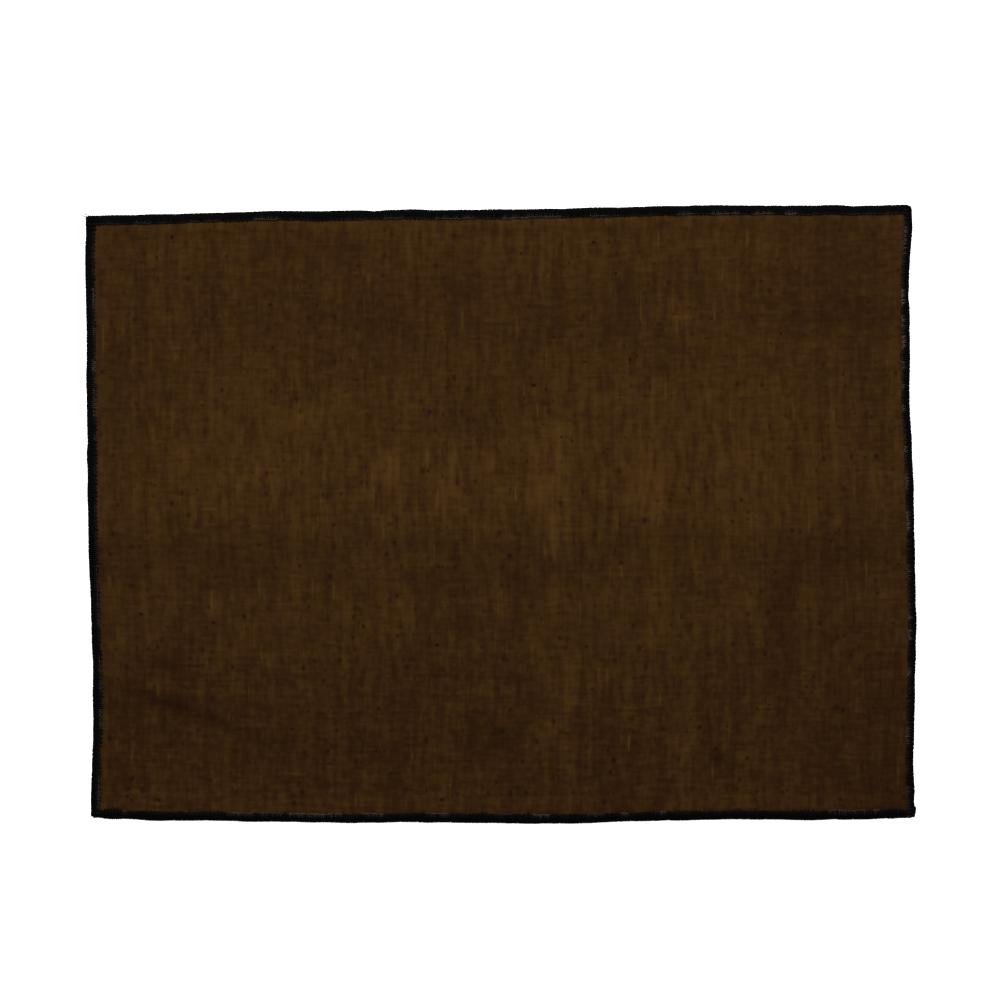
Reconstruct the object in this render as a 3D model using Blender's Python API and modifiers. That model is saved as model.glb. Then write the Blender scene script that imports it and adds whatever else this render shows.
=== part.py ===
"""A fabric placemat: a panel of plain-woven linen whose four cut sides are overlocked with thick thread.

It lies face up and nearly flat, with the soft crease of its folding across the middle and a few low
wrinkles. Units are metres: +X along the mat's length, +Y towards its back side and +Z up. The origin is
the middle of the mat's outline, on the surface that the mat lies on.

Places on the mat are given as u and v, the distances from its left and front sides before those sides
stray from the true rectangle.
"""

import math
from collections import namedtuple

import bmesh
import bpy

MM = 0.001

# The finished mat, measured over the edging.
LENGTH = 480 * MM
WIDTH = 355 * MM

# The sheet of linen, and the layer of thread that wraps its edge with a little room all round.
CLOTH_THICKNESS = 1.0 * MM
THREAD_LAYER = 0.5 * MM
CLEARANCE = 0.3 * MM
EDGING_WIDTH = {"front": 5.7 * MM, "right": 5.0 * MM, "back": 5.6 * MM, "left": 5.6 * MM}
EDGING_SEAT = THREAD_LAYER + CLEARANCE
EDGING_HEIGHT = CLOTH_THICKNESS + 2 * EDGING_SEAT
NOSE_RADIUS = EDGING_HEIGHT / 2
NOSE_STEPS = 4
CORNER_RADIUS = 2.0 * MM
CORNER_SHARES = (0, 0.3, 0.6, 1)

# The cut edge of the linen lies this far inside the edging's outer line, and its corners a little more.
CLOTH_INSET = 1.4 * MM
CORNER_TUCK = 0.5 * MM

# The linen leaves the surface over this stretch to enter the edging.
RISE_TOP = 6.4 * MM
RISE_FOOT = 17 * MM

# How far each corner of the outer line lies outside the true rectangle.
Stray = namedtuple("Stray", "x y")
CORNER_STRAY = {
    ("left", "front"): Stray(x=-2.2 * MM, y=-0.9 * MM),
    ("right", "front"): Stray(x=0.6 * MM, y=-1.3 * MM),
    ("left", "back"): Stray(x=0.8 * MM, y=-4.3 * MM),
    ("right", "back"): Stray(x=-1.2 * MM, y=2.1 * MM),
}

# How far each side bows out of the straight line between its corners, in millimetres. A row gives the
# share of the way along, from the left or from the front, and the bow there.
Bow = namedtuple("Bow", "share out_mm")
SIDE_BOWS = {
    "front": (
        Bow(0.00, 0.0),
        Bow(0.08, 1.2),
        Bow(0.15, 1.4),
        Bow(0.28, 2.7),
        Bow(0.40, 2.3),
        Bow(0.52, 3.2),
        Bow(0.60, 2.9),
        Bow(0.70, 1.5),
        Bow(0.80, 0.9),
        Bow(0.91, 1.1),
        Bow(1.00, 0.0),
    ),
    "right": (
        Bow(0.00, 0.0),
        Bow(0.09, -0.6),
        Bow(0.17, 0.0),
        Bow(0.32, 1.3),
        Bow(0.46, 0.1),
        Bow(0.55, -0.2),
        Bow(0.68, -1.8),
        Bow(0.82, -1.5),
        Bow(0.87, -2.0),
        Bow(0.95, -0.3),
        Bow(1.00, 0.0),
    ),
    "back": (
        Bow(0.00, 0.0),
        Bow(0.15, 0.8),
        Bow(0.22, 1.4),
        Bow(0.30, 0.9),
        Bow(0.37, 1.3),
        Bow(0.46, 0.6),
        Bow(0.62, 0.9),
        Bow(0.77, 1.3),
        Bow(0.89, 0.5),
        Bow(1.00, 0.0),
    ),
    "left": (
        Bow(0.00, 0.0),
        Bow(0.09, -0.5),
        Bow(0.14, -1.4),
        Bow(0.22, -1.6),
        Bow(0.32, -1.0),
        Bow(0.43, -0.1),
        Bow(0.55, 0.1),
        Bow(0.70, 0.6),
        Bow(0.80, 0.4),
        Bow(0.93, 0.6),
        Bow(1.00, 0.0),
    ),
}

# Ridges in the cloth, in millimetres. Each runs along its crest from (x1, y1) to (x2, y2), falls to the
# surface over its left and right spans as one walks that way, and fades at both ends over its fade.
Fold = namedtuple("Fold", "x1 y1 x2 y2 height left right fade")
FOLDS = {
    "middle crease": Fold(x1=-290, y1=-10, x2=290, y2=-3, height=2.6, left=66, right=32, fade=20),
    "foot of the crease": Fold(x1=-290, y1=-57, x2=290, y2=-50, height=0.6, left=15, right=20, fade=20),
    "front left wrinkle": Fold(x1=-236, y1=-90, x2=-122, y2=-133, height=1.2, left=13, right=10, fade=38),
    "front middle swell": Fold(x1=-62, y1=-88, x2=24, y2=-128, height=0.7, left=17, right=14, fade=32),
    "back right wrinkle": Fold(x1=150, y1=150, x2=224, y2=120, height=0.9, left=14, right=12, fade=30),
    "right hand swell": Fold(x1=183, y1=-140, x2=166, y2=-24, height=0.7, left=20, right=16, fade=34),
}

# No crest is quite straight or level: it wavers to both sides and up and down along its way.
CREST_WAVER = 2.2 * MM
CREST_UNEVENNESS = 0.22
CREST_WAVE = 176 * MM
HEIGHT_WAVE = 118 * MM

# Lines of the cloth's grid, closer together where it bends more. A row gives where a band of lines ends,
# measured from the left or the front side, and how many steps it takes.
Band = namedtuple("Band", "end steps")
COLUMN_BANDS = (
    Band(RISE_TOP, 1),
    Band(RISE_FOOT, 2),
    Band(125 * MM, 12),
    Band(350 * MM, 17),
    Band(LENGTH - RISE_FOOT, 10),
    Band(LENGTH - RISE_TOP, 2),
    Band(LENGTH - CLOTH_INSET, 1),
)
ROW_BANDS = (
    Band(RISE_TOP, 1),
    Band(RISE_FOOT, 2),
    Band(33 * MM, 2),
    Band(96 * MM, 9),
    Band(135 * MM, 4),
    Band(180 * MM, 6),
    Band(245 * MM, 6),
    Band(WIDTH - RISE_FOOT, 8),
    Band(WIDTH - RISE_TOP, 2),
    Band(WIDTH - CLOTH_INSET, 1),
)

LINEN_COLOUR = "37230F"
LINEN_ROUGHNESS = 0.92
THREAD_COLOUR = "0A0A0A"
THREAD_ROUGHNESS = 0.6
SHARP_ANGLE = math.radians(50)


def clear_scene():
    for old in list(bpy.data.objects):
        bpy.data.objects.remove(old, do_unlink=True)


def make_collection(name):
    collection = bpy.data.collections.new(name)
    bpy.context.scene.collection.children.link(collection)
    return collection


def linear(hex_colour):
    """The linear RGBA colour of an sRGB hex value."""
    channels = [int(hex_colour[i : i + 2], 16) / 255 for i in (0, 2, 4)]
    return [c / 12.92 if c <= 0.04045 else ((c + 0.055) / 1.055) ** 2.4 for c in channels] + [1]


def make_material(name, hex_colour, roughness):
    material = bpy.data.materials.new(name)
    material.use_nodes = True
    shader = material.node_tree.nodes["Principled BSDF"]
    shader.inputs["Base Color"].default_value = linear(hex_colour)
    shader.inputs["Roughness"].default_value = roughness
    shader.inputs["Metallic"].default_value = 0
    return material


def ease(share):
    """A smooth step from 0 to 1 as share goes from 0 to 1."""
    share = min(max(share, 0), 1)
    return share * share * (3 - 2 * share)


def bow(side, share):
    """How far a side bows outward at a share of the way along it, on a smooth curve through its rows."""
    rows = SIDE_BOWS[side]
    slopes = [0] * len(rows)
    for i in range(1, len(rows) - 1):
        slopes[i] = (rows[i + 1].out_mm - rows[i - 1].out_mm) / (rows[i + 1].share - rows[i - 1].share)
    share = min(max(share, 0), 1)
    i = max(k for k in range(len(rows) - 1) if rows[k].share <= share)
    gap = rows[i + 1].share - rows[i].share
    t = (share - rows[i].share) / gap
    between = rows[i].out_mm + (rows[i + 1].out_mm - rows[i].out_mm) * ease(t)
    leave = slopes[i] * gap * t * (1 - t) ** 2
    arrive = slopes[i + 1] * gap * t * t * (1 - t)
    return (between + leave - arrive) * MM


def corner(side_x, side_y):
    """The outer line's corner where two sides meet."""
    stray = CORNER_STRAY[side_x, side_y]
    sign_x = -1 if side_x == "left" else 1
    sign_y = -1 if side_y == "front" else 1
    return sign_x * (LENGTH / 2 + stray.x), sign_y * (WIDTH / 2 + stray.y)


def plan(u, v):
    """Where a place on the mat lies in the mat's real, slightly crooked outline."""
    s, t = u / LENGTH, v / WIDTH
    x = y = 0
    for side_x, share_x in (("left", 1 - s), ("right", s)):
        for side_y, share_y in (("front", 1 - t), ("back", t)):
            corner_x, corner_y = corner(side_x, side_y)
            x += share_x * share_y * corner_x
            y += share_x * share_y * corner_y
    x += bow("right", t) * s - bow("left", t) * (1 - s)
    y += bow("back", s) * t - bow("front", s) * (1 - t)
    return x, y


def fold_height(fold, x, y):
    """How high one ridge lifts the cloth at a point."""
    run_x, run_y = (fold.x2 - fold.x1) * MM, (fold.y2 - fold.y1) * MM
    run = math.hypot(run_x, run_y)
    from_x, from_y = x - fold.x1 * MM, y - fold.y1 * MM
    along = (from_x * run_x + from_y * run_y) / run
    across = (run_x * from_y - run_y * from_x) / run
    across -= CREST_WAVER * math.sin(2 * math.pi * along / CREST_WAVE)
    span = (fold.left if across > 0 else fold.right) * MM
    if abs(across) >= span:
        return 0
    ends = ease(along / (fold.fade * MM)) * ease((run - along) / (fold.fade * MM))
    height = fold.height * MM * (1 + CREST_UNEVENNESS * math.sin(2 * math.pi * along / HEIGHT_WAVE))
    return height * ends * (1 + math.cos(math.pi * across / span)) / 2


def lift(x, y):
    """Height of the mat's underside over the surface that it lies on."""
    return sum(fold_height(fold, x, y) for fold in FOLDS.values())


def edge_rise(u, v):
    """How far the linen rises to enter the edging, which is thicker than the linen."""
    from_side = min(u, LENGTH - u, v, WIDTH - v)
    return EDGING_SEAT * ease((RISE_FOOT - from_side) / (RISE_FOOT - RISE_TOP))


def grid_lines(start, bands):
    """The places of the grid's lines, from the start through every band."""
    lines = [start]
    for band in bands:
        first = lines[-1]
        step = (band.end - first) / band.steps
        lines += [first + step * (i + 1) for i in range(band.steps)]
    return lines


COLUMNS = grid_lines(CLOTH_INSET, COLUMN_BANDS)
ROWS = grid_lines(CLOTH_INSET, ROW_BANDS)


def sheet(name, across, along, place, thickness, offset, material, collection):
    """A grid over two lists of values, each crossing put where place says, thickened to a closed sheet."""
    last_i, last_j = len(across) - 1, len(along) - 1
    bm = bmesh.new()
    bmesh.ops.create_grid(bm, x_segments=last_i, y_segments=last_j, size=0.5)
    for vert in bm.verts:
        i = round((vert.co.x + 0.5) * last_i)
        j = round((vert.co.y + 0.5) * last_j)
        vert.co = place(across[i], along[j])
    mesh = bpy.data.meshes.new(name)
    bm.to_mesh(mesh)
    bm.free()
    mesh.materials.append(material)
    mesh.shade_smooth()
    mesh.set_sharp_from_angle(angle=SHARP_ANGLE)
    piece = bpy.data.objects.new(name, mesh)
    collection.objects.link(piece)
    wall = piece.modifiers.new("thickness", "SOLIDIFY")
    wall.thickness = thickness
    wall.offset = offset
    wall.use_even_offset = True
    return piece


def linen_point(u, v):
    """A point of the linen's underside, its four corners tucked in clear of the edging's round ends."""
    at_corner = u in (COLUMNS[0], COLUMNS[-1]) and v in (ROWS[0], ROWS[-1])
    if at_corner:
        u += CORNER_TUCK if u < LENGTH / 2 else -CORNER_TUCK
        v += CORNER_TUCK if v < WIDTH / 2 else -CORNER_TUCK
    x, y = plan(u, v)
    return x, y, lift(x, y) + edge_rise(u, v)


def make_linen_panel(material, collection):
    return sheet(
        "linen_panel", COLUMNS, ROWS, linen_point, CLOTH_THICKNESS, 1, material, collection
    )


def edging_profile(width):
    """Depth and height round the edging: its upper lip from the inner end, the nose, the lower lip."""
    profile = [(width, EDGING_HEIGHT)]
    for i in range(NOSE_STEPS + 1):
        angle = math.pi / 2 - math.pi * i / NOSE_STEPS
        depth = NOSE_RADIUS * (1 - math.cos(angle))
        profile.append((depth, NOSE_RADIUS * (1 + math.sin(angle))))
    profile.append((width, 0))
    return profile


def corner_cut(along, length):
    """How far the outer line of a run draws in at a round corner."""
    from_end = min(along, length - along)
    if from_end >= CORNER_RADIUS:
        return 0
    return CORNER_RADIUS - math.sqrt(CORNER_RADIUS**2 - (CORNER_RADIUS - from_end) ** 2)


def edging_point(side, along, depth, height):
    """A point of a run's outer surface."""
    width = EDGING_WIDTH[side]
    if side in ("front", "back"):
        depth = width - (width - depth) * (1 - corner_cut(along, LENGTH) / width)
    u, v = {
        "front": (along, depth),
        "right": (LENGTH - depth, along),
        "back": (along, WIDTH - depth),
        "left": (depth, along),
    }[side]
    x, y = plan(u, v)
    return x, y, lift(x, y) + height


def run_lines(side):
    """Where a run has its cross-sections, counter-clockwise round the mat, in line with the linen's."""
    if side in ("front", "back"):
        near = [CORNER_RADIUS * share for share in CORNER_SHARES]
        far = [LENGTH - step for step in reversed(near)]
        lines = near + [u for u in COLUMNS if near[-1] < u < far[0]] + far
    else:
        start = EDGING_WIDTH["front"] + CLEARANCE
        end = WIDTH - EDGING_WIDTH["back"] - CLEARANCE
        lines = [start] + [v for v in ROWS if start < v < end] + [end]
    return lines if side in ("front", "right") else lines[::-1]


def make_overlock_run(side, material, collection):
    def place(point, along):
        depth, height = point
        return edging_point(side, along, depth, height)

    profile = edging_profile(EDGING_WIDTH[side])
    name = f"overlock_{side}"
    return sheet(name, profile, run_lines(side), place, THREAD_LAYER, -1, material, collection)


def main():
    clear_scene()
    placemat = make_collection("fabric_placemat")
    linen = make_material("plain woven linen", LINEN_COLOUR, LINEN_ROUGHNESS)
    thread = make_material("overlock thread", THREAD_COLOUR, THREAD_ROUGHNESS)
    make_linen_panel(linen, placemat)
    for side in EDGING_WIDTH:
        make_overlock_run(side, thread, placemat)


main()
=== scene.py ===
"""The looks of a fabric placemat: dark brown slubby linen with its edge overlocked in thick black thread.

It lies face up and is seen from straight above. Lengths are metres, +X runs along the mat, +Y towards its
back side and +Z up. Places on the mat are given as u and v, the distances from its left and front sides
before those sides stray from the true rectangle. A depth is measured inwards from the edging's outer line.
"""

import math
import random
from bisect import bisect_right
from collections import namedtuple
from functools import lru_cache, partial

import bmesh
import bpy
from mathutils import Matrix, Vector, noise


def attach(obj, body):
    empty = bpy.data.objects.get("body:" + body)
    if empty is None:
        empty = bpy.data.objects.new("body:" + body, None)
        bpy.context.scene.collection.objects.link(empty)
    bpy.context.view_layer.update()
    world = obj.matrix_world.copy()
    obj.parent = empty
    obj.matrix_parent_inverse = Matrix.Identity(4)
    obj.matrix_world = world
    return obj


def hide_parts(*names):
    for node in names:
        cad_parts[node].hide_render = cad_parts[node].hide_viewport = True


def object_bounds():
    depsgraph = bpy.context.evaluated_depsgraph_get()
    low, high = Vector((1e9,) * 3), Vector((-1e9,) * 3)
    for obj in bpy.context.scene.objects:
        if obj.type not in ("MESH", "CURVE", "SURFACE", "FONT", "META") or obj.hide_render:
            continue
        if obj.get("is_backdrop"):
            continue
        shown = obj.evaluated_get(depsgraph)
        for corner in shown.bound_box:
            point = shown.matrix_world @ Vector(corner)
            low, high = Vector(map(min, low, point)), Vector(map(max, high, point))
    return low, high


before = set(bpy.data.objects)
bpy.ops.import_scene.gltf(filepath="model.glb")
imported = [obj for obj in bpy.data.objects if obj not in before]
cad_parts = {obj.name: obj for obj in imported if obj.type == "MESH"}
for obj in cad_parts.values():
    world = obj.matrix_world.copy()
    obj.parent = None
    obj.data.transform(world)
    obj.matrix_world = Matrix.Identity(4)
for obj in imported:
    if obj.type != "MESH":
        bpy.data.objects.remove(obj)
cad_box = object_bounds()

bl_info = {
    "name": "Fabric placemat",
    "version": (1, 0, 0),
    "blender": (4, 5, 0),
    "location": "3D View > Sidebar > Placemat",
    "description": "Dresses a placemat's solids in slubby linen with an overlocked edge",
    "category": "Object",
}

MM = 0.001
SIDES = ("front", "right", "back", "left")

# The finished mat, its cloth and its edging, as the solids have them.
LENGTH = 480 * MM
WIDTH = 355 * MM
EDGING_SEAT = 0.8 * MM
EDGING_HEIGHT = 2.6 * MM
CLOTH_INSET = 1.4 * MM
CORNER_TUCK = 0.5 * MM
RISE_TOP = 6.4 * MM
RISE_FOOT = 17 * MM

# Each side's seam: its width, how deep its needle line lies inside its inner border, how much of the light
# grey shows on its loops, partly lint and partly painted highlight, and how far its loops and the imported
# layer under them stay short of that border.
Seam = namedtuple("Seam", "width needle_depth leg_lint drawn_back packed_short")
SEAMS = {
    "front": Seam(5.7 * MM, 0.7 * MM, leg_lint=0.65, drawn_back=0, packed_short=1.0 * MM),
    "right": Seam(5.0 * MM, 0.3 * MM, leg_lint=1.6, drawn_back=0.4 * MM, packed_short=2.2 * MM),
    "back": Seam(5.6 * MM, 0.9 * MM, leg_lint=0.8, drawn_back=-0.15 * MM, packed_short=1.1 * MM),
    "left": Seam(5.6 * MM, 1.5 * MM, leg_lint=0.75, drawn_back=-0.25 * MM, packed_short=0.9 * MM),
}

# How far each corner of the outer line lies outside the true rectangle, and how round it is.
Corner = namedtuple("Corner", "x y radius")
CORNERS = {
    ("left", "front"): Corner(x=-2.2 * MM, y=-0.9 * MM, radius=1.0 * MM),
    ("right", "front"): Corner(x=0.6 * MM, y=-1.3 * MM, radius=2.2 * MM),
    ("left", "back"): Corner(x=0.8 * MM, y=-4.3 * MM, radius=0.8 * MM),
    ("right", "back"): Corner(x=-1.2 * MM, y=2.1 * MM, radius=2.4 * MM),
}

# How far each side bows out of the straight line between its corners: the share of the way along, from the
# left or from the front, and the bow there in millimetres.
SIDE_BOWS = {
    "front": (
        (0.00, 0.0), (0.08, 1.2), (0.15, 1.4), (0.28, 2.7), (0.40, 2.3), (0.52, 3.2), (0.60, 2.9),
        (0.70, 1.5), (0.80, 0.9), (0.91, 1.1), (1.00, 0.0),
    ),
    "right": (
        (0.00, 0.0), (0.09, -0.6), (0.17, 0.0), (0.32, 1.3), (0.46, 0.1), (0.55, -0.2), (0.68, -1.8),
        (0.82, -1.5), (0.87, -2.0), (0.95, -0.3), (1.00, 0.0),
    ),
    "back": (
        (0.00, 0.0), (0.15, 0.8), (0.22, 1.4), (0.30, 0.9), (0.37, 1.3), (0.46, 0.6), (0.62, 0.9),
        (0.77, 1.3), (0.89, 0.5), (1.00, 0.0),
    ),
    "left": (
        (0.00, 0.0), (0.09, -0.5), (0.14, -1.4), (0.22, -1.6), (0.32, -1.0), (0.43, -0.1), (0.55, 0.1),
        (0.70, 0.6), (0.80, 0.4), (0.93, 0.6), (1.00, 0.0),
    ),
}

# Ridges of the solids, in millimetres: along the crest from (x1, y1) to (x2, y2), down to the surface over
# the left and right spans as one walks that way, fading at both ends.
Fold = namedtuple("Fold", "x1 y1 x2 y2 height left right fade")
FOLDS = {
    "middle crease": Fold(x1=-290, y1=-10, x2=290, y2=-3, height=2.6, left=66, right=32, fade=20),
    "foot of the crease": Fold(x1=-290, y1=-57, x2=290, y2=-50, height=0.6, left=15, right=20, fade=20),
    "front left wrinkle": Fold(x1=-236, y1=-90, x2=-122, y2=-133, height=1.2, left=13, right=10, fade=38),
    "front middle swell": Fold(x1=-62, y1=-88, x2=24, y2=-128, height=0.7, left=17, right=14, fade=32),
    "back right wrinkle": Fold(x1=150, y1=150, x2=224, y2=120, height=0.9, left=14, right=12, fade=30),
    "right hand swell": Fold(x1=183, y1=-140, x2=166, y2=-24, height=0.7, left=20, right=16, fade=34),
}
CREST_WAVER = 2.2 * MM
CREST_UNEVENNESS = 0.22
CREST_WAVE = 176 * MM
HEIGHT_WAVE = 118 * MM

# Finer creases that only the cloth has, beside the ridges above.
FINE_CREASES = {
    "sharp front of the middle crease": Fold(-290, -15, 290, -9, height=0.24, left=13, right=14, fade=20),
    "upper left wrinkle line": Fold(-226, -97, -168, -112, height=0.35, left=4, right=4, fade=16),
    "lower left wrinkle line": Fold(-214, -103, -150, -124, height=0.4, left=5, right=4, fade=18),
    "end of the left wrinkle": Fold(-168, -116, -118, -136, height=0.35, left=5, right=5, fade=16),
    "back right line": Fold(170, 163, 232, 127, height=0.3, left=7, right=6, fade=20),
    "second back right line": Fold(118, 138, 196, 108, height=0.25, left=8, right=7, fade=24),
    "front middle line": Fold(-26, -116, 18, -134, height=0.3, left=7, right=6, fade=14),
    "front middle arc": Fold(24, -128, 46, -86, height=0.35, left=6, right=7, fade=14),
    "back middle line": Fold(96, 96, 112, 130, height=0.3, left=8, right=7, fade=14),
    "left middle line": Fold(-150, 34, -96, 62, height=0.25, left=9, right=8, fade=20),
}

# The crumpling that is too fine to be a crease: its height and the distance between its waves.
Crumple = namedtuple("Crumple", "height wave")
CRUMPLES = (Crumple(0.30 * MM, 34 * MM), Crumple(0.12 * MM, 13 * MM))
PUCKER_HEIGHT = 0.28 * MM
PUCKER_WAVE = 9 * MM
PUCKER_DEPTH = 16 * MM
# The seam holds the cloth flat up to this far from the outer line.
SEAM_GRIP = 4.5 * MM

# Broad places where the cloth is painted lighter (above 0) or darker: centre and reach in millimetres. Those
# said to be painted shade stand for light falling off and for the slopes of the folds; the rest are lighter
# or darker places.
Patch = namedtuple("Patch", "x y reach_x reach_y tone")
TONE_PATCHES = {
    "bright middle": Patch(29, 22, 9, 20, 0.75),
    "long middle streak": Patch(31, 0, 5, 80, 0.5),
    "bright left of middle": Patch(-67, 25, 10, 11, 0.9),
    "small bright left of middle": Patch(-26, 28, 6, 9, 0.8),
    "bright right of middle": Patch(87, 14, 8, 15, 0.9),
    "bright back left": Patch(-110, 57, 15, 9, 0.6),
    "pale bar on the left": Patch(-137, 25, 24, 6, 0.4),
    "bright right": Patch(139, 34, 6, 10, 0.6),
    "bright back": Patch(23, 147, 6, 16, 0.7),
    "bright front left": Patch(-55, -56, 8, 13, 0.6),
    "bright front arc": Patch(40, -102, 6, 18, 0.7),
    "bright front right": Patch(145, -50, 4, 15, 0.6),
    "dark front right band": Patch(163, -73, 9, 60, -0.7),
    "dark front middle": Patch(-6, -129, 15, 11, -0.8),
    "dark spot before the crease": Patch(-15, -62, 14, 7, -0.6),
    "dark back": Patch(-29, 136, 24, 15, -0.4),
    "dark back right of middle": Patch(58, 107, 20, 16, -0.35),
    "dark above the crease": Patch(-25, 54, 38, 11, -0.55),
    "dark back right": Patch(203, 118, 28, 9, -0.4),
    "dark front right corner": Patch(221, -160, 16, 12, -0.6),
    "dark left": Patch(-221, 95, 9, 20, -0.4),
    "dark right": Patch(212, -27, 24, 13, -0.4),
    # Painted shade on the front slope of the left wrinkle.
    "dark front left": Patch(-192, -112, 34, 11, -0.9),
    "long right streak": Patch(87, 0, 6, 120, 0.35),
    # Painted shade: the back and the front of the mat and its left and right sides are painted darker, as
    # light that falls off away from the middle, and the foot of the crease is painted darker, as shade on
    # the crease's front slope.
    "back of the mat": Patch(0, 120, 400, 40, -0.55),
    "foot of the crease": Patch(0, -40, 400, 10, -0.45),
    "front of the mat": Patch(0, -133, 400, 60, -0.85),
    "left side": Patch(-225, 0, 22, 400, -0.25),
    "right side": Patch(215, 0, 45, 400, -0.3),
    "dark back right corner": Patch(205, 150, 30, 12, -0.6),
    "dark over the left wrinkle": Patch(-195, -88, 16, 8, -0.8),
    "pale front middle": Patch(30, -128, 12, 14, 0.9),
    "pale back right of middle": Patch(101, 117, 10, 12, 0.6),
    "pale below the left wrinkle": Patch(-199, -118, 10, 6, 0.8),
    "dark front right of middle": Patch(70, -166, 18, 7, -0.7),
    "dark back left of middle": Patch(-90, 152, 20, 10, -0.55),
    "dark front left of middle": Patch(-2, -87, 7, 16, -0.5),
    "pale right side": Patch(229, 85, 8, 22, 0.5),
    "pale back middle": Patch(10, 118, 12, 12, 0.45),
    # Painted shade on the front slope of the middle crease.
    "front of the crease": Patch(0, -5, 400, 13, -0.1),
    "pale front right of middle": Patch(108, -133, 12, 12, 0.8),
    # Painted shade on the front slope of the middle crease, on the left.
    "dark foot of the crease on the left": Patch(-150, -14, 55, 12, -0.4),
    "pale back edge": Patch(-48, 164, 20, 6, 0.5),
    "dark end of the crease": Patch(231, 3, 8, 12, -0.45),
    "pale front left corner": Patch(-228, -126, 8, 16, 0.45),
    "small pale place in front": Patch(-30, -111, 9, 7, 0.6),
    "small dark place in front": Patch(9, -101, 7, 8, -0.5),
}

# The yarns' uneven tone as layers of noise. A row gives each layer's grain along the mat and across it in
# millimetres, how strongly it shows, and whether it keeps to whole warp or weft yarns.
Grain = namedtuple("Grain", "x_mm y_mm strength detail yarns")
GRAINS = {
    "warp slubs": Grain(4.2, 20, 0.42, 1, None),
    "narrow warp streaks": Grain(2.3, 14, 0.20, 1, None),
    "blotches": Grain(3.7, 4.5, 0.36, 2, None),
    "weft slubs": Grain(11, 2.4, 0.24, 1, None),
    "warp bands": Grain(6, 90, 0.25, 1, None),
    "single warp yarns": Grain(0.5, 26, 0.04, 0, "warp"),
    "single weft yarns": Grain(30, 0.5, 0.04, 0, "weft"),
    "broad shades": Grain(45, 38, 0.14, 2, None),
    "weft bands": Grain(70, 2.8, 0.11, 1, None),
}

# The tone of yarn that the patches and the grain leave alone: 0 is dark yarn, 1 is pale.
MIDDLE_TONE = 0.555

# Where the edging is thicker or thinner than elsewhere, in millimetres: the place along its side, how far
# the change reaches both ways, and how far it comes out and in.
LUMPS = {
    "front": (
        (4, 4, -0.6, -0.5), (13, 7, 0.5, 1.2), (65, 5, 0.2, 0.5), (120, 8, -0.4, 0.0), (228, 6, 0.1, 0.6),
        (246, 5, 0.0, 0.5), (432, 8, -0.4, 0.3), (467, 6, 0.3, 0.4),
    ),
    "right": (
        (10, 6, -0.6, -0.2), (95, 6, 0.2, 0.4), (124, 6, -0.3, 0.2), (267, 6, 0.2, 0.9),
        (294, 4, 0.1, 0.8), (302, 6, -0.4, 0.0),
    ),
    "back": (
        (18, 12, 0.5, 0.0), (168, 8, -0.4, 0.0), (418, 6, 0.0, 0.5), (446, 9, -0.4, 0.3),
    ),
    "left": (
        (40, 10, 0.0, -0.7), (70, 10, 0.4, 0.2), (214, 8, 0.5, 0.2), (310, 9, 0.1, 0.5),
    ),
}

# Where light grey shows between the stitches, partly lint and the needle thread and partly painted highlight
# on the loops: from and to, in millimetres along the side, and how strongly.
LINT_AND_GLINT_PATCHES = {
    "front": (
        (17, 22, 0.8), (78, 95, 0.9), (97, 112, 0.7), (114, 147, 1.0), (158, 171, 0.9), (194, 210, 0.9),
        (256, 268, 1.0), (288, 300, 0.5), (308, 314, 0.9), (331, 336, 1.5), (428, 452, 0.7),
        (455, 460, 1.1),
    ),
    "right": (
        (13, 19, 0.5), (42, 53, 0.7), (81, 87, 1.1), (102, 110, 0.9), (114, 120, 0.8), (138, 148, 0.6),
        (165, 178, 1.0), (189, 200, 1.0), (211, 216, 0.9), (234, 241, 0.6), (247, 252, 0.8),
        (259, 266, 0.8), (271, 280, 1.3), (283, 292, 0.9), (296, 307, 1.2), (325, 346, 0.6),
    ),
    "back": (
        (27, 39, 0.5), (60, 66, 0.6), (96, 114, 0.7), (172, 185, 0.7), (202, 228, 0.7), (241, 277, 0.8),
        (292, 303, 0.6), (342, 354, 0.7), (362, 381, 0.85), (386, 401, 0.7), (405, 414, 0.95),
    ),
    "left": (
        (5, 26, 0.6), (52, 65, 0.7), (73, 96, 0.5), (112, 150, 0.5), (222, 227, 0.6), (236, 254, 0.7),
        (262, 271, 0.9), (284, 291, 0.7), (299, 313, 0.8),
    ),
}

# Dark bits of plant that stand out in the cloth: the place and the size across, in millimetres.
SPECKS = (
    (75, 90, 1.7), (19, 75, 2.0), (67, 140, 1.4), (54, 158, 1.5), (-191, 161, 1.8), (-134, 122, 1.7),
    (-167, -63, 1.5), (-209, -58, 1.4), (-37, -76, 1.6), (-34, -166, 1.6), (199, -114, 1.8),
    (163, 105, 1.3), (-217, -164, 1.5), (-199, -166, 1.6),
)

# How high the yarn's thick places rise, how far their rims are sunk into the cloth, their sizes in
# millimetres (least, most and, where there is a third, most often) and their tones.
SLUB_RISE = 0.06 * MM
SPECK_RISE = 0.06 * MM
RIM_SUNK = 0.02 * MM
WEFT_SLUB_EVERY = 8
SLUB_HALF_LENGTHS = (3, 15, 5)
SLUB_HALF_WIDTHS = (0.5, 1.9, 0.7)
SLUB_SHADES = {"warp": (-0.7, 1.3), "weft": (-0.7, 0.9)}
SPECK_NARROWNESS = 0.75
SPECK_SHADE = -5
FAINT_SPECK_HALF_WIDTHS = (0.5, 1.0)
FAINT_SPECK_STRETCH = (1, 2.2)
FAINT_SPECK_SHADES = (-2.6, -0.7)
# Which share of the strong specks and of the faint ones lies along the warp.
SPECKS_ALONG_WARP = 0.4
FAINT_SPECKS_ALONG_WARP = 0.5

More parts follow.
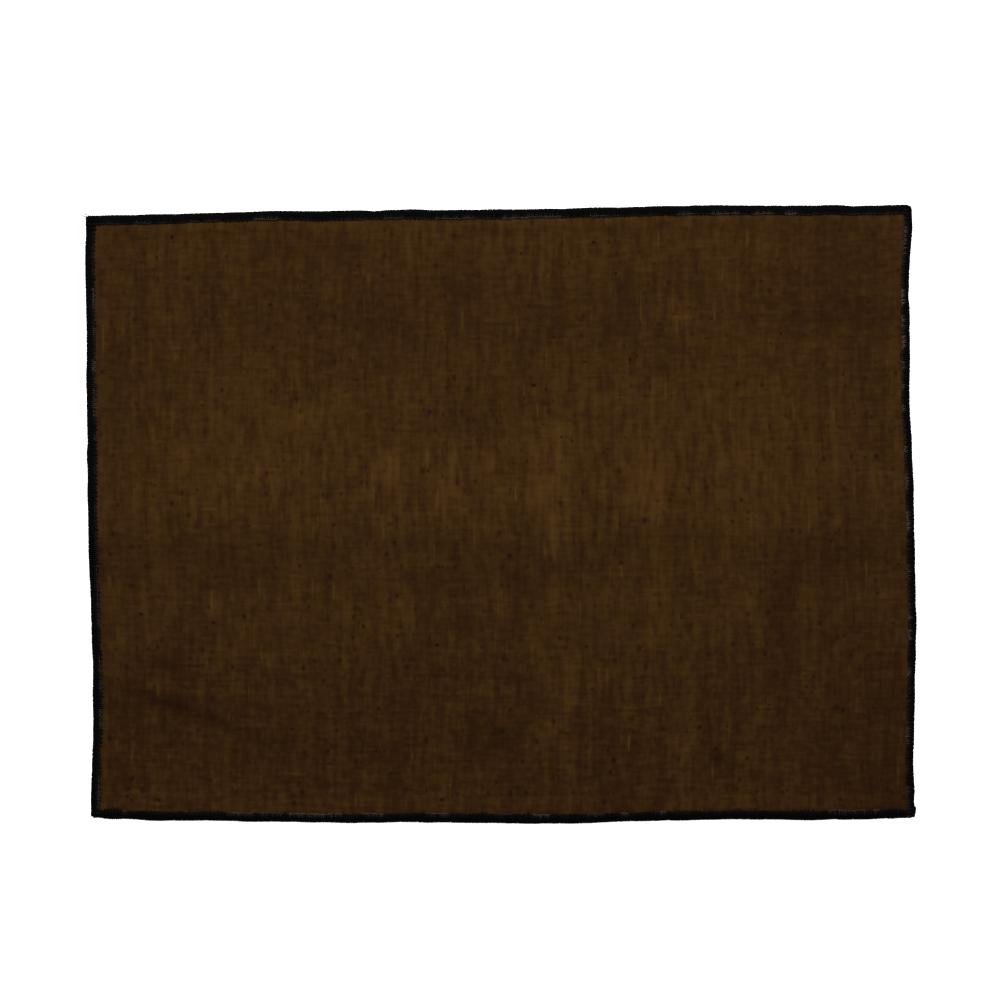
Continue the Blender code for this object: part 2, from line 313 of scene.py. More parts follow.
# The seam's other sizes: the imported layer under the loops, how much fuller than the solid the seam is, how
# its ends are set in and raised at the corners, and the knob of spare thread at one of them.
PACKED_LAYER = 0.2 * MM
PACKED_DEPTH = 0.36 * MM
SEAM_FULLNESS = 0.47 * MM
LOOP_SINKS = 0.3 * MM
END_ROOM = 0.45 * MM
THREAD_ROUNDING = 0.5 * MM
SEAM_LAP = 0.6 * MM
CORNER_RAISE = 0.4 * MM
KNOB_ALONG = (0.5 * MM, 6.2 * MM)
KNOB_DEPTH = 0.3 * MM
KNOB_RADIUS = 1.0 * MM
KNOB_TURNS = 7
KNOB_END_SHARE = 0.72
STEPS_PER_TURN = 12
LOOPER_FACETS = 8
NEEDLE_FACETS = 6

# What brings the noise up to about -1 to 1, and how far apart two tracks lie in it.
DRIFT_REACH = 1.6
TRACK_GAP = 3.7

# How far the edging's outer border (the first two rows) and its inner one (the last two) wander, and over
# what length.
Wander = namedtuple("Wander", "reach wave")
WANDERS = (
    Wander(0.28 * MM, 17 * MM),
    Wander(0.10 * MM, 6 * MM),
    Wander(0.24 * MM, 12 * MM),
    Wander(0.16 * MM, 4 * MM),
)
# How much light grey the seam shows, partly lint and partly painted highlight: the least, how unevenly and
# over what length it wanders, and over what length a patch of it fades in.
LEAST_LINT_AND_GLINT = 0.18
LINT_AND_GLINT_UNEVENNESS = 0.12
LINT_AND_GLINT_WAVE = 9 * MM
LINT_AND_GLINT_FADE = 1.5 * MM

# How uneven the stitches are: how far in a loop may turn (least, most and most often) and how far past the
# tip, how thick its thread is, how far it leans along the seam as a share of a stitch, how much light grey
# each of its legs shows, partly lint and partly painted highlight, and the same for the needle thread's
# depth, slack and light grey.
TURN_IN = (-0.9 * MM, 0.5 * MM, 0)
TURN_OUT = (-0.9 * MM, -0.4 * MM)
THREAD_SIZE = (0.90, 1.10)
LOOP_LEAN = 0.18
LINT_AND_GLINT_CAUGHT = (0.1, 1.3)
NEEDLE_STRAY = 0.2 * MM
NEEDLE_SLACK = (0.2, 1.0)
NEEDLE_LINT_AND_GLINT = (0.8, 1.92)
NEEDLE_STEPS = 8

# Between its stitches the needle thread arches out of the cloth: how deep its ends lie under the edging's
# top, how high its crown stands over them, how much more where it is slack, and how round the arch is.
NEEDLE_SUNK = 0.75 * MM
NEEDLE_CROWN = 0.45 * MM
NEEDLE_SLACK_CROWN = 0.35 * MM
NEEDLE_ROUNDNESS = 0.6

# How much of its way along the seam a loop makes at its two ends, over what length its inner end sinks into
# the cloth, and from what share of the seam's width on, and over how much of it, the light grey of lint and
# painted highlight shows.
END_SHARE = 0.8
SINK_LENGTH = 1.4 * MM
LINT_AND_GLINT_FROM = 0.48
LINT_AND_GLINT_OVER = 0.38

# Two loose ends of thread at the back left corner, as points in millimetres.
THREAD_TAILS = (
    ((-239.0, 171.6, 2.0), (-240.6, 173.0, 1.7), (-242.2, 173.2, 1.0), (-243.6, 173.9, 0.5)),
    ((-238.6, 172.2, 1.6), (-240.0, 173.9, 1.2), (-241.2, 174.3, 0.7), (-241.9, 175.0, 0.4)),
)
TAIL_STEPS = 8

# The stage.
TABLE_REACH = 3.0
TABLE_DROP = 0.1 * MM
LAMP_PLACE = (0, 1.84, 1.54)
LAMP_SIZE = (1.8, 1.0)
FRAME_CENTRE = (-0.4 * MM, 8.3 * MM)
MAT_TOP = 2 * MM


def linear(hex_colour):
    """The linear RGBA colour of an sRGB hex value."""
    channels = [int(hex_colour[i : i + 2], 16) / 255 for i in (0, 2, 4)]
    return [c / 12.92 if c <= 0.04045 else ((c + 0.055) / 1.055) ** 2.4 for c in channels] + [1]


# The mat's form.


def ease(share):
    """A smooth step from 0 to 1 as share goes from 0 to 1."""
    share = min(max(share, 0), 1)
    return share * share * (3 - 2 * share)


def round_turn(share):
    """A step from 0 to 1 that stays longer at both ends than ease does."""
    return share**3 * (10 - 15 * share + 6 * share**2)


def drift(place, wave, track):
    """A smooth wander between about -1 and 1 along a line. Each track wanders on its own."""
    return DRIFT_REACH * noise.noise(Vector((place / wave, TRACK_GAP * track, 0.5)))


def slopes_between(rows):
    """The slope of a smooth curve at each of its rows, level at both ends."""
    pairs = zip(rows, rows[2:])
    inner = [(out_b - out_a) / (share_b - share_a) for (share_a, out_a), (share_b, out_b) in pairs]
    return [0, *inner, 0]


BOW_SLOPES = {side: slopes_between(rows) for side, rows in SIDE_BOWS.items()}
BOW_SHARES = {side: [share for share, out_mm in rows] for side, rows in SIDE_BOWS.items()}


@lru_cache(maxsize=8192)
def bow(side, share):
    """How far a side bows outward at a share of the way along it, on a smooth curve through its rows."""
    rows, slopes = SIDE_BOWS[side], BOW_SLOPES[side]
    share = min(max(share, 0), 1)
    i = min(bisect_right(BOW_SHARES[side], share), len(rows) - 1) - 1
    (share_before, out_before), (share_after, out_after) = rows[i : i + 2]
    gap = share_after - share_before
    t = (share - share_before) / gap
    between = out_before + (out_after - out_before) * ease(t)
    leave = slopes[i] * gap * t * (1 - t) ** 2
    arrive = slopes[i + 1] * gap * t * t * (1 - t)
    return (between + leave - arrive) * MM


def plan(u, v):
    """Where a place on the mat lies in the mat's real, slightly crooked outline."""
    s, t = u / LENGTH, v / WIDTH
    x = y = 0
    for side_x, share_x, sign_x in (("left", 1 - s, -1), ("right", s, 1)):
        for side_y, share_y, sign_y in (("front", 1 - t, -1), ("back", t, 1)):
            stray = CORNERS[side_x, side_y]
            x += share_x * share_y * sign_x * (LENGTH / 2 + stray.x)
            y += share_x * share_y * sign_y * (WIDTH / 2 + stray.y)
    x += bow("right", t) * s - bow("left", t) * (1 - s)
    y += bow("back", s) * t - bow("front", s) * (1 - t)
    return x, y


def place_on_mat(x, y):
    """The u and v of a point, by stepping closer to it, because the outline strays only a little."""
    u, v = x + LENGTH / 2, y + WIDTH / 2
    for step in range(3):
        at_x, at_y = plan(u, v)
        u += x - at_x
        v += y - at_y
    return u, v


def fold_height(fold, x, y):
    """How high one ridge lifts the cloth at a point."""
    run_x, run_y = (fold.x2 - fold.x1) * MM, (fold.y2 - fold.y1) * MM
    run = math.hypot(run_x, run_y)
    from_x, from_y = x - fold.x1 * MM, y - fold.y1 * MM
    along = (from_x * run_x + from_y * run_y) / run
    across = (run_x * from_y - run_y * from_x) / run
    across -= CREST_WAVER * math.sin(2 * math.pi * along / CREST_WAVE)
    span = (fold.left if across > 0 else fold.right) * MM
    if abs(across) >= span:
        return 0
    ends = ease(along / (fold.fade * MM)) * ease((run - along) / (fold.fade * MM))
    height = fold.height * MM * (1 + CREST_UNEVENNESS * math.sin(2 * math.pi * along / HEIGHT_WAVE))
    return height * ends * (1 + math.cos(math.pi * across / span)) / 2


def lift(x, y):
    """Height of the mat's underside over the surface that it lies on, as the solids have it."""
    return sum(fold_height(fold, x, y) for fold in FOLDS.values())


def edge_rise(u, v):
    """How far the linen rises to enter the edging, which is thicker than the linen."""
    from_side = min(u, LENGTH - u, v, WIDTH - v)
    return EDGING_SEAT * ease((RISE_FOOT - from_side) / (RISE_FOOT - RISE_TOP))


def crumple(x, y):
    """The cloth's fine unevenness, never under the surface that it lies on."""
    height = 0
    for track, row in enumerate(CRUMPLES):
        wave = noise.noise(Vector((x / row.wave, y / row.wave, 4.3 + 7 * track)))
        height += row.height * max(0, 0.5 + wave)
    return height


def pucker(u, v):
    """The small ripples that the stitching draws into the cloth beside it."""
    from_side = min(u, LENGTH - u, v, WIDTH - v)
    if from_side > PUCKER_DEPTH:
        return 0
    along = u if from_side in (v, WIDTH - v) else v
    past_grip = from_side - SEAM_GRIP
    strength = ease(1 - past_grip / PUCKER_DEPTH) * ease(past_grip / SEAM_GRIP)
    return PUCKER_HEIGHT * strength * max(0, 0.5 + noise.noise(Vector((along / PUCKER_WAVE, 9.1, 0.5))))


def cloth_underside(u, v):
    """A point of the linen's underside."""
    x, y = plan(u, v)
    fine = sum(fold_height(fold, x, y) for fold in FINE_CREASES.values()) + crumple(x, y)
    fine *= ease((min(u, LENGTH - u, v, WIDTH - v) - SEAM_GRIP) / SEAM_GRIP)
    return Vector((x, y, lift(x, y) + edge_rise(u, v) + fine + pucker(u, v)))


def tone(x, y):
    """How light or dark the cloth is at a point, apart from its yarns. It holds painted shade: darker
    towards the mat's sides and on the front slopes of the middle crease and the left wrinkle.
    """
    total = 0
    for patch in TONE_PATCHES.values():
        off_x = abs(x / MM - patch.x) / patch.reach_x
        if off_x < 3:
            off_y = abs(y / MM - patch.y) / patch.reach_y
            total += patch.tone * math.exp(-(off_x**2) - off_y**2)
    return total


def lump(side, along):
    """How far the edging comes out and in at a place, through its lumps and its own slow wander."""
    first = 10 * SIDES.index(side)
    strays = [row.reach * drift(along, row.wave, first + i) for i, row in enumerate(WANDERS)]
    out = strays[0] + strays[1]
    inward = strays[2] + strays[3] - SEAMS[side].drawn_back
    for at, reach, out_mm, in_mm in LUMPS[side]:
        near = ease(1 - abs(along - at * MM) / (reach * MM))
        out += near * out_mm * MM
        inward += near * in_mm * MM
    return out, inward


def lint(side, along):
    """How much light grey shows on the seam at a place, from 0 to about 1: lint, the needle thread and
    painted highlight.
    """
    strength = LEAST_LINT_AND_GLINT + LINT_AND_GLINT_UNEVENNESS * drift(along, LINT_AND_GLINT_WAVE, 50 + SIDES.index(side))
    for start, end, most in LINT_AND_GLINT_PATCHES[side]:
        if start * MM < along < end * MM:
            fade = min(along - start * MM, end * MM - along) / LINT_AND_GLINT_FADE
            strength = max(strength, most * ease(fade))
    return max(strength, 0)


def corner_cut(side, along):
    """How far the outer line draws in at a round corner."""
    if side in ("front", "back"):
        length, corners = LENGTH, (("left", side), ("right", side))
    else:
        length, corners = WIDTH, ((side, "front"), (side, "back"))
    from_end = min(along, length - along)
    radius = CORNERS[corners[0] if along < length / 2 else corners[1]].radius + THREAD_ROUNDING
    if from_end >= radius:
        return 0
    return radius - math.sqrt(max(radius**2 - (radius - from_end) ** 2, 0))


def edging_point(side, along, depth, height):
    """A point of an edging run, with the run's lumps and round corners worked in."""
    width = SEAMS[side].width
    out, inward = lump(side, along)
    out += SEAM_FULLNESS
    inside = min(max(depth / width, 0), 1)
    depth += inward * inside - out * (1 - inside)
    depth = width - (width - depth) * (1 - corner_cut(side, along) / width)
    u, v = {
        "front": (along, depth),
        "right": (LENGTH - depth, along),
        "back": (along, WIDTH - depth),
        "left": (depth, along),
    }[side]
    x, y = plan(u, v)
    return Vector((x, y, lift(x, y) + height))


def round_the_edge(arc, radius):
    """Depth and height at a distance round the cloth's edge: 0 is its tip, above 0 its upper side."""
    middle = EDGING_HEIGHT / 2
    quarter = math.pi / 2 * radius
    if abs(arc) < quarter:
        angle = arc / radius
        return middle - radius * math.cos(angle), middle + radius * math.sin(angle)
    return middle + abs(arc) - quarter, middle + math.copysign(radius, arc)


# Meshes and materials.


def add_piece(name, mesh, material):
    """Puts a finished mesh in the scene as a piece of the object."""
    mesh.materials.append(material)
    mesh.shade_smooth()
    piece = bpy.data.objects.new(name, mesh)
    bpy.context.scene.collection.objects.link(piece)
    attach(piece, "root")
    return piece


def shade_cloth(mesh):
    """Gives a cloth mesh its broad tone, painted shade included, on top of any tone that it has."""
    own = mesh.attributes.get("tone") or mesh.attributes.new("tone", "FLOAT", "POINT")
    for vert, shade in zip(mesh.vertices, own.data):
        shade.value += tone(vert.co.x, vert.co.y)


def add_node(tree, kind, inputs=None, **settings):
    """Adds a shader node with its settings. An input is a plain value, an output of another node, or
    another node, which gives its first output.
    """
    node = tree.nodes.new("ShaderNode" + kind)
    for name, value in settings.items():
        setattr(node, name, value)
    for socket, value in (inputs or {}).items():
        if isinstance(value, bpy.types.Node):
            value = value.outputs[0]
        if isinstance(value, bpy.types.NodeSocket):
            tree.links.new(value, node.inputs[socket])
        else:
            node.inputs[socket].default_value = value
    return node


def start_material(name):
    """A new material, its shader and what adds a node to it."""
    material = bpy.data.materials.new(name)
    material.use_nodes = True
    tree = material.node_tree
    return material, tree.nodes["Principled BSDF"], partial(add_node, tree)


def finish_material(material, shader, colour, bump, roughness):
    """Gives the shader its colour and bump. Cloth and thread hardly mirror any light."""
    links = material.node_tree.links
    links.new(colour, shader.inputs["Base Color"])
    links.new(bump.outputs[0], shader.inputs["Normal"])
    shader.inputs["Roughness"].default_value = roughness
    shader.inputs["Specular IOR Level"].default_value = 0.03
    return material


def make_linen_material(title):
    """Plain-woven, piece-dyed linen. Flax yarn is thick and thin along its way, so it takes the dye as
    long pale and dark streaks, most of them along the warp. The raw cloth is matt and mirrors hardly any
    light.
    """
    settings = bpy.context.scene.placemat_cloth
    material, shader, add = start_material(title)
    pitch_mm = settings.yarn_pitch / MM
    weave = add("UVMap", uv_map="Weave")
    straight = add("VectorMath", {0: weave, "Scale": 1 / MM}, operation="SCALE")
    # The yarns waver by a fifth of a millimetre over about 9 mm.
    waver = add("TexNoise", {"Vector": straight, "Scale": 1 / 9, "Detail": 1}).outputs["Color"]
    place = add("VectorMath", {0: waver, 1: (0.4, 0.4, 0), 2: straight}, operation="MULTIPLY_ADD")
    sources = {None: place}
    for yarns, step in (("warp", (pitch_mm, 0.01, 1)), ("weft", (0.01, pitch_mm, 1))):
        sources[yarns] = add("VectorMath", {0: place, 1: step}, operation="SNAP")
    shades = {}
    total = 0
    for track, (name, grain) in enumerate(GRAINS.items()):
        scales = (1 / grain.x_mm, 1 / grain.y_mm, 1)
        scaled = add(
            "VectorMath",
            {0: sources[grain.yarns], 1: scales, 2: (0, 0, 3.3 * track)},
            operation="MULTIPLY_ADD",
        )
        texture = add("TexNoise", {"Vector": scaled, "Scale": 1, "Detail": grain.detail, "Roughness": 0.55})
        shades[name] = add("Math", {0: texture.outputs["Fac"], 1: 0.5}, operation="SUBTRACT")
        total = add("Math", {0: shades[name], 1: grain.strength, 2: total}, operation="MULTIPLY_ADD")
    # The front third of the mat is the blotchiest.
    along = add("SeparateXYZ", {0: place}).outputs["Y"]
    contrast = add(
        "MapRange",
        {"Value": along, "From Min": 120, "From Max": 70, "To Min": 0.97, "To Max": 1.2},
    )
    total = add("Math", {0: total, 1: contrast}, operation="MULTIPLY")
    # The broad tones, painted shade among them, are as streaky as the warp is.
    broad = add("Attribute", attribute_name="tone").outputs["Fac"]
    streaks = add("Math", {0: shades["warp slubs"], 1: 0.5, 2: 0.16}, operation="MULTIPLY_ADD")
    total = add("Math", {0: broad, 1: streaks, 2: total}, operation="MULTIPLY_ADD")
    total = add_knots(add, place, along, total)
    height = weave_height(add, place, pitch_mm)
    # Painted shade: the pits between the yarns are painted a little darker than the yarn crowns.
    crowns = add("Math", {0: height, 1: 0.04, 2: total}, operation="MULTIPLY_ADD")
    share = add("Math", {0: crowns, 1: MIDDLE_TONE}, operation="ADD")
    ramp = add("ValToRGB", {"Fac": share})
    dark, pale = ramp.color_ramp.elements
    dark.position, dark.color = 0, (*settings.dark_yarn, 1)
    pale.position, pale.color = 1, (*settings.pale_yarn, 1)
    ramp.color_ramp.elements.new(0.5).color = (*settings.linen, 1)
    ramp.color_ramp.interpolation = "CARDINAL"
    relief = add("Math", {0: total, 1: 0.6, 2: height}, operation="MULTIPLY_ADD")
    bump = add("Bump", {"Height": relief, "Strength": 0.35, "Distance": settings.yarn_pitch / 4})
    return finish_material(material, shader, ramp.outputs["Color"], bump, 0.92)


def add_knots(add, place, along, total):
    """Takes the small dark knots of the yarn, one at most in each 5 by 6 mm, off the cloth's tone. They
    are darkest near the front side.
    """
    cells = add("VectorMath", {0: place, 1: (1 / 5, 1 / 6, 1)}, operation="MULTIPLY")
    knots = add("TexVoronoi", {"Vector": cells, "Scale": 1}).outputs
    chance = add("SeparateXYZ", {0: knots["Color"]}).outputs
    reach = add("Math", {0: chance["X"], 1: 0.26, 2: 0.20}, operation="MULTIPLY_ADD")
    near = add(
        "MapRange",
        {"Value": knots["Distance"], "From Max": reach, "To Min": 1, "To Max": 0},
        interpolation_type="SMOOTHSTEP",
    )
    few = add("Math", {0: chance["Y"], 1: 2}, operation="POWER")
    most = add("MapRange", {"Value": along, "From Max": 355, "To Min": -0.5, "To Max": -0.3})
    dark = add("Math", {0: few, 1: most}, operation="MULTIPLY")
    return add("Math", {0: near, 1: dark, 2: total}, operation="MULTIPLY_ADD")


def weave_height(add, place, pitch_mm):
    """The relief of a plain weave, from 0 in its pits to 1 on its crowns: the warp lies on top in every
    other square, the weft in the rest.
    """
    turned = add("VectorMath", {0: place, "Scale": math.pi / pitch_mm}, operation="SCALE")
    waves = add("VectorMath", {0: turned}, operation="SINE")
    rounds = add("VectorMath", {0: waves}, operation="ABSOLUTE")
    wave = add("SeparateXYZ", {0: waves}).outputs
    rounded = add("SeparateXYZ", {0: rounds}).outputs
    swap = add("Math", {0: wave["X"], 1: wave["Y"]}, operation="MULTIPLY")
    warp = add("Math", {0: rounded["X"], 1: swap}, operation="ADD")
    weft = add("Math", {0: rounded["Y"], 1: swap}, operation="SUBTRACT")
    top = add("Math", {0: warp, 1: weft}, operation="MAXIMUM")
    return add("Math", {0: top, 1: 0.5}, operation="MULTIPLY")


def make_thread_material():
    """Thick spun polyester overlock thread, dyed black. It is three yarns twisted together, so a fine
    slanting relief runs along it; it is nearly matt. Grey is painted on it where the edge is handled, partly
    lint that clings to it and partly painted highlight.
    """
    settings = bpy.context.scene.placemat_edging
    material, shader, add = start_material("black spun polyester overlock thread")
    split = add("SeparateXYZ", {0: add("UVMap", uv_map="Thread")}).outputs
    # Three yarns make a full turn of the thread every 2.4 mm, so a yarn passes every 0.8 mm.
    turn = add("Math", {0: split["X"], 1: 1 / 2.4, 2: split["Y"]}, operation="MULTIPLY_ADD")
    angle = add("Math", {0: turn, 1: 3 * math.pi}, operation="MULTIPLY")
    wave = add("Math", {0: angle}, operation="SINE")
    yarn = add("Math", {0: wave}, operation="ABSOLUTE")
    position = add("TexCoord").outputs["Object"]
    fibre = add("TexNoise", {"Vector": position, "Scale": 1 / (0.35 * MM), "Detail": 2}).outputs["Fac"]
    # The grey, partly lint and partly painted highlight, lies on the yarns' crowns and leaves the grooves
    # black.
    shown = add("Attribute", attribute_name="lint").outputs["Fac"]
    crowns = add("Math", {0: yarn, 1: shown}, operation="MULTIPLY")
    specks = add("MapRange", {"Value": fibre, "From Min": 0.3, "From Max": 0.6})
    share = add("Math", {0: crowns, 1: specks}, operation="MULTIPLY")
    colour = add(
        "Mix",
        {"Factor": share, 6: (*settings.thread, 1), 7: (*settings.lint, 1)},
        data_type="RGBA",
        clamp_factor=True,
    )
    relief = add("Math", {0: fibre, 1: 0.5, 2: yarn}, operation="MULTIPLY_ADD")
    bump = add("Bump", {"Height": relief, "Strength": 0.6, "Distance": 0.1 * MM})
    return finish_material(material, shader, colour.outputs[2], bump, 0.7)


def make_floor_material():
    """White acrylic of a light table: matt, and lit from inside so that it throws no shadow edge."""
    material, shader = start_material("white light table")[:2]
    shader.inputs["Base Color"].default_value = linear("F2F2F2")
    shader.inputs["Roughness"].default_value = 0.9
    shader.inputs["Emission Color"].default_value = (1, 1, 1, 1)
    shader.inputs["Emission Strength"].default_value = bpy.context.scene.placemat_stage.table_glow
    return material


def thread_mesh(points, sizes, lints_and_glints, radius, sides):
    """A thread as a mesh: a tube through its points, with its own map and its light grey, partly lint and
    partly painted highlight.

    The map gives millimetres along the thread and the share of the way round it.
    """
    curve = bpy.data.curves.new("thread", "CURVE")
    curve.dimensions = "3D"
    curve.bevel_depth = radius
    curve.bevel_resolution = (sides - 4) // 2
    curve.use_fill_caps = True
    spline = curve.splines.new("POLY")
    spline.points.add(len(points) - 1)
    for spot, point, size in zip(spline.points, points, sizes):
        spot.co = (*point, 1)
        spot.radius = size
    maker = bpy.data.objects.new("thread", curve)
    bpy.context.scene.collection.objects.link(maker)
    shaped = maker.evaluated_get(bpy.context.evaluated_depsgraph_get())
    mesh = bpy.data.meshes.new_from_object(shaped)
    bpy.data.objects.remove(maker)
    bpy.data.curves.remove(curve)
    length_mm = sum((b - a).length for a, b in zip(points, points[1:])) / MM
    mesh.uv_layers[0].name = "Thread"
    for corner in mesh.uv_layers[0].uv:
        corner.vector.x *= length_mm
    # The rings of corners of the two end caps come first, then one ring for each point.
    values = [lints_and_glints[i // sides - 2] for i in range(len(mesh.vertices))]
    mesh.attributes.new("lint", "FLOAT", "POINT").data.foreach_set("value", values)
    return mesh


def join_meshes(name, meshes):
    """One mesh of several, with their maps and attributes kept."""
    bm = bmesh.new()
    for mesh in meshes:
        bm.from_mesh(mesh)
        bpy.data.meshes.remove(mesh)
    bmesh.ops.remove_doubles(bm, verts=bm.verts, dist=0.001 * MM)
    return finish_mesh(bm, name)


def placed_grid(across, along, place, map_name, chart):
    """A grid over two lists of values: place gives each crossing's point and chart its spot on the map."""
    last_i, last_j = len(across) - 1, len(along) - 1
    bm = bmesh.new()
    bmesh.ops.create_grid(bm, x_segments=last_i, y_segments=last_j, size=0.5)
    spots = {}
    for vert in bm.verts:
        i = round((vert.co.x + 0.5) * last_i)
        j = round((vert.co.y + 0.5) * last_j)
        spots[vert] = chart(across[i], along[j])
        vert.co = place(across[i], along[j])
    layer = bm.loops.layers.uv.new(map_name)
    for face in bm.faces:
        for loop in face.loops:
            loop[layer].uv = spots[loop.vert]
    return bm


def finish_mesh(bm, name):
    """Turns a bmesh into a mesh and frees it."""
    mesh = bpy.data.meshes.new(name)
    bm.to_mesh(mesh)
    bm.free()
    return mesh


# The edging.


def looper_strand(side, start, end, upper, raised, chance):
    """A looper thread's way: over and back across one face of the edge, once for each stitch.

    The upper looper covers the face and stops at the edge's tip; the lower one covers the underside and
    hooks over the tip, so that the two knot along it. They are half a stitch apart.
    """
    edging = bpy.context.scene.placemat_edging
    pitch, thick = edging.stitch_length, edging.looper_diameter
    radius = EDGING_HEIGHT / 2 - thick / 2
    inner = SEAMS[side].width - thick / 2 - EDGING_HEIGHT / 2 + math.pi / 2 * radius
    stitches = max(round((end - start) / pitch), 1)
    pitch = (end - start) / stitches
    points, sizes, lints_and_glints = [], [], []
    for stitch in range(stitches):
        turn_in = inner + chance.triangular(*TURN_IN)
        turn_out = chance.uniform(*TURN_OUT)
        size = chance.uniform(*THREAD_SIZE)
        lean = chance.uniform(-LOOP_LEAN, LOOP_LEAN)
        caught = (chance.uniform(*LINT_AND_GLINT_CAUGHT), chance.uniform(*LINT_AND_GLINT_CAUGHT))
        for step in range(edging.steps_per_stitch):
            phase = step / edging.steps_per_stitch
            swing = round_turn(abs(2 * phase - 1))
            arc = turn_out + (turn_in - turn_out) * swing
            leg = phase + END_SHARE * math.sin(4 * math.pi * phase) / (4 * math.pi)
            along = start + pitch * (stitch + leg + lean * math.sin(math.pi * phase) ** 2)
            along += 0 if upper else pitch / 2
            along = min(max(along, start), end)
            depth, height = round_the_edge(arc if upper else -arc, radius)
            if upper:
                height += raised or -LOOP_SINKS * ease((arc - inner) / SINK_LENGTH + 1)
            points.append(edging_point(side, along, depth, height))
            sizes.append(size)
            # The upper loops' inner legs are painted light grey, partly lint and partly painted highlight.
            inside = ease((depth / SEAMS[side].width - LINT_AND_GLINT_FROM) / LINT_AND_GLINT_OVER)
            shown = SEAMS[side].leg_lint * caught[phase > 0.5] * inside * lint(side, along)
            lints_and_glints.append(shown if upper else 0)
    return thread_mesh(points, sizes, lints_and_glints, thick / 2, LOOPER_FACETS)


def needle_strand(side, start, end, chance):
    """The needle thread along the loopers' inner turns, dipping into the cloth at each stitch's end."""
    edging = bpy.context.scene.placemat_edging
    pitch, thick = edging.stitch_length, edging.needle_diameter
    stitches = round((end - start) / pitch)
    pitch = (end - start) / stitches
    points, sizes, lints_and_glints = [], [], []
    for stitch in range(stitches):
        depth = SEAMS[side].width - SEAMS[side].needle_depth + chance.uniform(-NEEDLE_STRAY, NEEDLE_STRAY)
        slack = chance.uniform(*NEEDLE_SLACK)
        shade = chance.uniform(*NEEDLE_LINT_AND_GLINT)
        for step in range(NEEDLE_STEPS):
            phase = step / NEEDLE_STEPS
            along = start + pitch * (stitch + phase)
            shown = min(lint(side, along), 1)
            arch = math.sin(math.pi * phase) ** NEEDLE_ROUNDNESS
            crown = NEEDLE_CROWN + NEEDLE_SLACK_CROWN * slack * shown
            height = EDGING_HEIGHT - NEEDLE_SUNK + arch * crown
            points.append(edging_point(side, along, depth, height))
            sizes.append(1)
            # The needle thread is painted grey on its arches, partly lint and partly painted highlight.
            lints_and_glints.append(shade * shown * arch)
    return thread_mesh(points, sizes, lints_and_glints, thick / 2, NEEDLE_FACETS)


def packed_threads(side, start, end):
    """The layer of thread under the loops, which closes the gaps between them, wrapped round the edge."""
    edging = bpy.context.scene.placemat_edging
    radius = EDGING_HEIGHT / 2 - PACKED_DEPTH
    quarter = math.pi / 2 * radius
    inner = SEAMS[side].width - SEAMS[side].packed_short - EDGING_HEIGHT / 2 + quarter
    bends = [quarter * share for share in (-1, -0.6, -0.25, 0.25, 0.6, 1)]
    arcs = [-inner, -(inner + quarter) / 2, *bends, (inner + quarter) / 2, inner]
    count = max(round((end - start) / edging.stitch_length), 2)
    lines = [start + (end - start) * i / count for i in range(count + 1)]

    def place(arc, along):
        depth, height = round_the_edge(arc, radius)
        return edging_point(side, along, depth, height)

    def chart(arc, along):
        return arc / MM, along / edging.looper_diameter

    bm = placed_grid(arcs, lines, place, "Thread", chart)
    bmesh.ops.recalc_face_normals(bm, faces=bm.faces)
    bmesh.ops.solidify(bm, geom=bm.faces[:], thickness=PACKED_LAYER)
    bmesh.ops.recalc_face_normals(bm, faces=bm.faces)
    mesh = finish_mesh(bm, "packed threads")
    mesh.attributes.new("lint", "FLOAT", "POINT")
    return mesh


def coiled_strand(first, last, radius, turns, thick):
    """A thread wound round the line between two points, fattest in its middle."""
    axis = (last - first).normalized()
    side = axis.orthogonal().normalized()
    up = axis.cross(side)
    count = turns * STEPS_PER_TURN
    points = []
    for i in range(count + 1):
        share = i / count
        angle = 2 * math.pi * i / STEPS_PER_TURN
        reach = radius * (KNOB_END_SHARE + (1 - KNOB_END_SHARE) * math.sin(math.pi * share))
        points.append(first.lerp(last, share) + reach * (math.cos(angle) * side + math.sin(angle) * up))
    return thread_mesh(points, [1] * len(points), [0] * len(points), thick / 2, LOOPER_FACETS)


def make_overlock_run(side, material):
    """One side's overlock seam: loopers over packed threads, and the needle thread that holds them."""
    chance = random.Random(f"overlock {side}")
    if side in ("front", "back"):
        start, end = 0, LENGTH
    else:
        start, end = SEAMS["front"].width - SEAM_LAP, WIDTH - SEAMS["back"].width + SEAM_LAP
    start += END_ROOM
    end -= END_ROOM
    strands = [
        looper_strand(side, start, end, True, 0, chance),
        looper_strand(side, start, end, False, 0, chance),
        needle_strand(side, start, end, chance),
        packed_threads(side, start + END_ROOM, end - END_ROOM),
    ]
    name = f"overlock_thread_{side}"
    piece = add_piece(name, join_meshes(name, strands), material)
    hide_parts(f"overlock_{side}")


